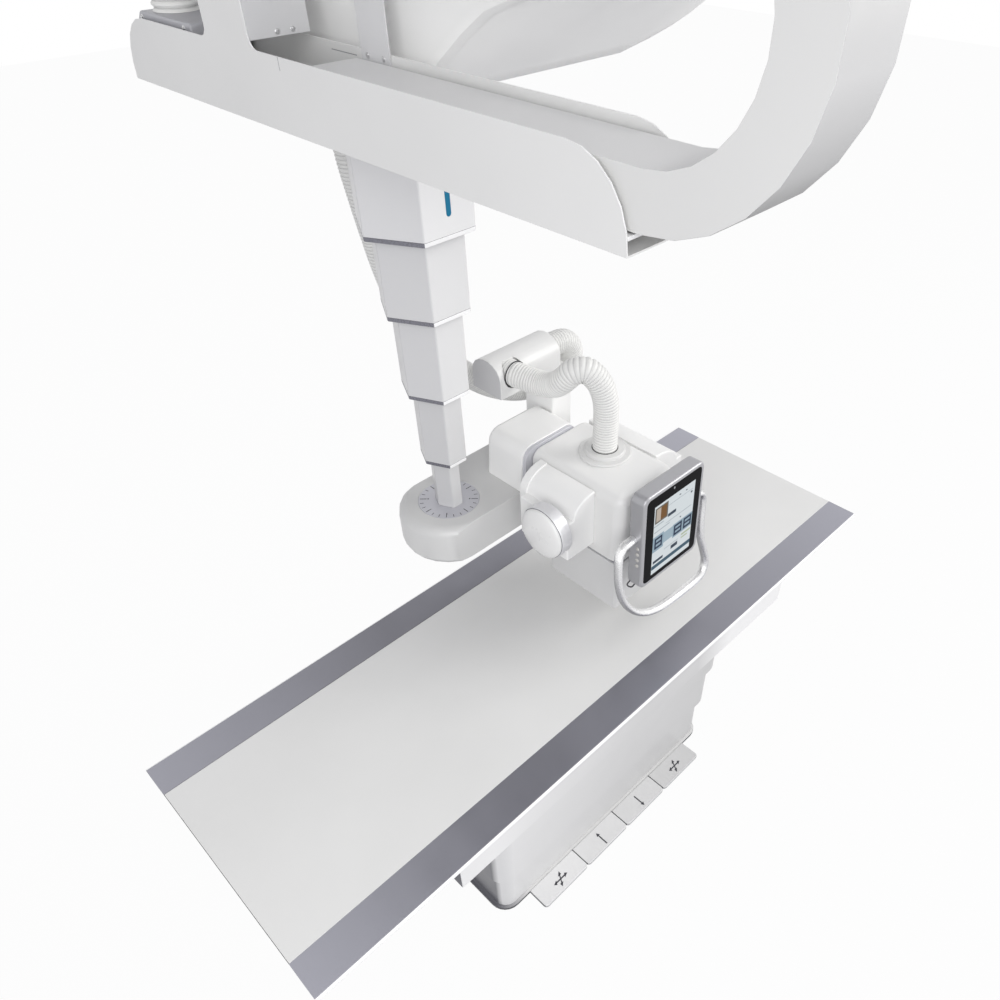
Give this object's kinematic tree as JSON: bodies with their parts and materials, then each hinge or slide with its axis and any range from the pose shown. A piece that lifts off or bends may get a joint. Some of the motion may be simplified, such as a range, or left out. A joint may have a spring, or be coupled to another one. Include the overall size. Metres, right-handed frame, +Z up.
{
  "type": "digital radiography system",
  "caption": "Ceiling-hung X-ray tube head on a telescopic column, carried by a rolling bridge over a lifting table with a floating top.",
  "frame": {"origin": "centre of the table base's underside, on the floor", "axes": "+Z up, X along the table, the operator stands at -Y"},
  "size_m": [2.5, 2.1, 2.94],
  "materials": {
    "base_plate": "dark grey powder coat",
    "base_lower_skirt": "satin off-white powder coat",
    "base_mid_skirt": "satin off-white powder coat",
    "base_upper_skirt": "satin off-white powder coat",
    "lift_mast": "grey painted steel",
    "lift_frame": "grey painted steel",
    "pedal_1": "satin off-white moulding with a printed arrow",
    "pedal_2": "satin off-white moulding with a printed arrow",
    "pedal_3": "satin off-white moulding with a printed arrow",
    "pedal_4": "satin off-white moulding with a printed arrow",
    "float_frame": "satin off-white paint",
    "detector_tray": "dark grey painted aluminium",
    "tabletop_panel": "satin laminate",
    "table_rail_far": "grey anodised extrusion",
    "table_rail_near": "grey anodised extrusion",
    "ceiling_rail_front": "satin extrusion",
    "ceiling_rail_rear": "satin extrusion",
    "end_truck_front": "off-white paint",
    "end_truck_rear": "off-white paint",
    "bridge_beam_left": "off-white coated extrusion",
    "bridge_beam_right": "off-white coated extrusion",
    "cable_trough": "off-white painted sheet steel",
    "trough_cross_plate": "off-white painted sheet steel",
    "trough_strap": "off-white painted sheet steel",
    "energy_chain": "moulded chain links",
    "supply_clamp": "grey paint",
    "supply_hose": "ribbed flexible hose",
    "hose_column": "ribbed flexible hose",
    "hose_head": "ribbed flexible hose",
    "carriage_frame": "grey painted steel",
    "pod_cover": "satin off-white moulded cover",
    "column_stage_1": "satin off-white paint",
    "column_stage_2": "satin off-white paint",
    "column_stage_3": "satin off-white paint",
    "column_stage_4": "satin off-white paint",
    "column_stage_5": "satin off-white paint",
    "column_seal_1": "dark wiper strip",
    "column_seal_2": "dark wiper strip",
    "column_seal_3": "dark wiper strip",
    "column_seal_4": "dark wiper strip",
    "indicator_lens": "blue light window",
    "rotation_dial": "grey anodised angle scale",
    "arm_housing": "satin off-white moulded cover",
    "riser_housing": "satin off-white moulded cover",
    "hose_post": "satin off-white moulded cover",
    "hose_tunnel": "satin off-white moulded cover",
    "head_flange": "grey machined plate",
    "head_bearing": "turned steel",
    "head_housing": "satin off-white moulded cover",
    "tube_shroud_left": "satin off-white moulded cover",
    "tube_shroud_right": "satin off-white moulded cover",
    "hose_gland": "satin off-white moulded cover",
    "collimator_housing": "satin off-white moulded cover",
    "tube_cap_ring": "bright band",
    "tube_cap": "satin off-white moulding",
    "collimator_collar": "dark grey strip",
    "display_mount": "off-white paint",
    "display_bezel": "silver satin frame",
    "display_glass": "glossy black panel",
    "grab_handle": "polished steel"
  },
  "bodies": {
    "installation": {"base_plate": "base_plate", "base_lower_skirt": "base_lower_skirt", "lift_mast": "lift_mast", "ceiling_rail_front": "ceiling_rail_front", "ceiling_rail_rear": "ceiling_rail_rear"},
    "bridge": {"end_truck_front": "end_truck_front", "end_truck_rear": "end_truck_rear", "bridge_beam_left": "bridge_beam_left", "bridge_beam_right": "bridge_beam_right", "cable_trough": "cable_trough", "trough_cross_plate": "trough_cross_plate", "trough_strap": "trough_strap", "energy_chain": "energy_chain", "supply_clamp": "supply_clamp", "supply_hose": "supply_hose"},
    "carriage": {"carriage_frame": "carriage_frame", "pod_cover": "pod_cover", "column_stage_1": "column_stage_1", "column_seal_1": "column_seal_1", "indicator_lens": "indicator_lens"},
    "stage_2": {"column_stage_2": "column_stage_2", "column_seal_2": "column_seal_2"},
    "stage_3": {"column_stage_3": "column_stage_3", "column_seal_3": "column_seal_3"},
    "stage_4": {"column_stage_4": "column_stage_4", "column_seal_4": "column_seal_4"},
    "inner_tube": {"column_stage_5": "column_stage_5", "rotation_dial": "rotation_dial"},
    "arm": {"arm_housing": "arm_housing", "riser_housing": "riser_housing", "head_flange": "head_flange", "head_bearing": "head_bearing", "hose_post": "hose_post", "hose_tunnel": "hose_tunnel", "hose_column": "hose_column", "hose_head": "hose_head"},
    "tube_head": {"head_housing": "head_housing", "tube_shroud_left": "tube_shroud_left", "tube_shroud_right": "tube_shroud_right", "tube_cap_ring": "tube_cap_ring", "tube_cap": "tube_cap", "hose_gland": "hose_gland", "collimator_collar": "collimator_collar", "display_mount": "display_mount", "display_bezel": "display_bezel", "display_glass": "display_glass", "grab_handle": "grab_handle"},
    "collimator": {"collimator_housing": "collimator_housing"},
    "table_lift": {"lift_frame": "lift_frame", "base_upper_skirt": "base_upper_skirt"},
    "mid_skirt": {"base_mid_skirt": "base_mid_skirt"},
    "float_bed": {"float_frame": "float_frame"},
    "tabletop": {"tabletop_panel": "tabletop_panel", "table_rail_far": "table_rail_far", "table_rail_near": "table_rail_near"},
    "tray": {"detector_tray": "detector_tray"},
    "pedal_a": {"pedal_1": "pedal_1"},
    "pedal_b": {"pedal_2": "pedal_2"},
    "pedal_c": {"pedal_3": "pedal_3"},
    "pedal_d": {"pedal_4": "pedal_4"}
  },
  "joints": [
    {"name": "bridge_travel", "type": "slide", "parent": "installation", "child": "bridge", "axis": [1, 0, 0], "range_m": [-0.6, 0.6]},
    {"name": "carriage_travel", "type": "slide", "parent": "bridge", "child": "carriage", "axis": [0, 1, 0], "range_m": [-0.4, 0.055], "deforming": ["energy_chain"]},
    {"name": "column_lift", "type": "slide", "parent": "carriage", "child": "inner_tube", "axis": [0, 0, 1], "range_m": [-0.03, 0.52], "deforming": ["hose_column"]},
    {"name": "stage_2_lift", "type": "slide", "parent": "carriage", "child": "stage_2", "axis": [0, 0, 1], "range_m": [-0.0075, 0.13]},
    {"name": "stage_3_lift", "type": "slide", "parent": "carriage", "child": "stage_3", "axis": [0, 0, 1], "range_m": [-0.015, 0.26]},
    {"name": "stage_4_lift", "type": "slide", "parent": "carriage", "child": "stage_4", "axis": [0, 0, 1], "range_m": [-0.0225, 0.39]},
    {"name": "arm_rotation", "type": "hinge", "parent": "inner_tube", "child": "arm", "pos_m": [-0.107, 0.325, 1.104], "axis": [0, 0, 1], "range_deg": [-150, 150], "deforming": ["hose_column"]},
    {"name": "head_rotation", "type": "hinge", "parent": "arm", "child": "tube_head", "pos_m": [0.215, 0.1862, 1.19], "axis": [0, 1, 0], "range_deg": [-120, 120], "deforming": ["hose_head"]},
    {"name": "collimator_rotation", "type": "hinge", "parent": "tube_head", "child": "collimator", "pos_m": [0.215, -0.0215, 0.985], "axis": [0, 0, 1], "range_deg": [-22, 22]},
    {"name": "table_height", "type": "slide", "parent": "installation", "child": "table_lift", "axis": [0, 0, 1], "range_m": [-0.25, 0.02]},
    {"name": "mid_skirt_lift", "type": "slide", "parent": "installation", "child": "mid_skirt", "axis": [0, 0, 1], "range_m": [-0.125, 0.01]},
    {"name": "table_float_y", "type": "slide", "parent": "table_lift", "child": "float_bed", "axis": [0, 1, 0], "range_m": [-0.12, 0.12]},
    {"name": "table_float_x", "type": "slide", "parent": "float_bed", "child": "tabletop", "axis": [1, 0, 0], "range_m": [-0.4, 0.4]},
    {"name": "tray_travel", "type": "slide", "parent": "float_bed", "child": "tray", "axis": [1, 0, 0], "range_m": [-0.4, 0.4]},
    {"name": "pedal_1_press", "type": "hinge", "parent": "installation", "child": "pedal_a", "pos_m": [-0.30525, -0.2783, 0.01], "axis": [1, 0, 0], "range_deg": [0, 2.5], "stiffness_Nm_per_rad": 60, "springref_deg": -2.86},
    {"name": "pedal_2_press", "type": "hinge", "parent": "installation", "child": "pedal_b", "pos_m": [-0.10175, -0.2783, 0.01], "axis": [1, 0, 0], "range_deg": [0, 2.5], "stiffness_Nm_per_rad": 60, "springref_deg": -2.86},
    {"name": "pedal_3_press", "type": "hinge", "parent": "installation", "child": "pedal_c", "pos_m": [0.10175, -0.2783, 0.01], "axis": [1, 0, 0], "range_deg": [0, 2.5], "stiffness_Nm_per_rad": 60, "springref_deg": -2.86},
    {"name": "pedal_4_press", "type": "hinge", "parent": "installation", "child": "pedal_d", "pos_m": [0.30525, -0.2783, 0.01], "axis": [1, 0, 0], "range_deg": [0, 2.5], "stiffness_Nm_per_rad": 60, "springref_deg": -2.86}
  ],
  "couplings": [
    {"joint": "stage_2_lift", "follows": "column_lift", "ratio": 0.25},
    {"joint": "stage_3_lift", "follows": "column_lift", "ratio": 0.5},
    {"joint": "stage_4_lift", "follows": "column_lift", "ratio": 0.75},
    {"joint": "mid_skirt_lift", "follows": "table_height", "ratio": 0.5}
  ]
}
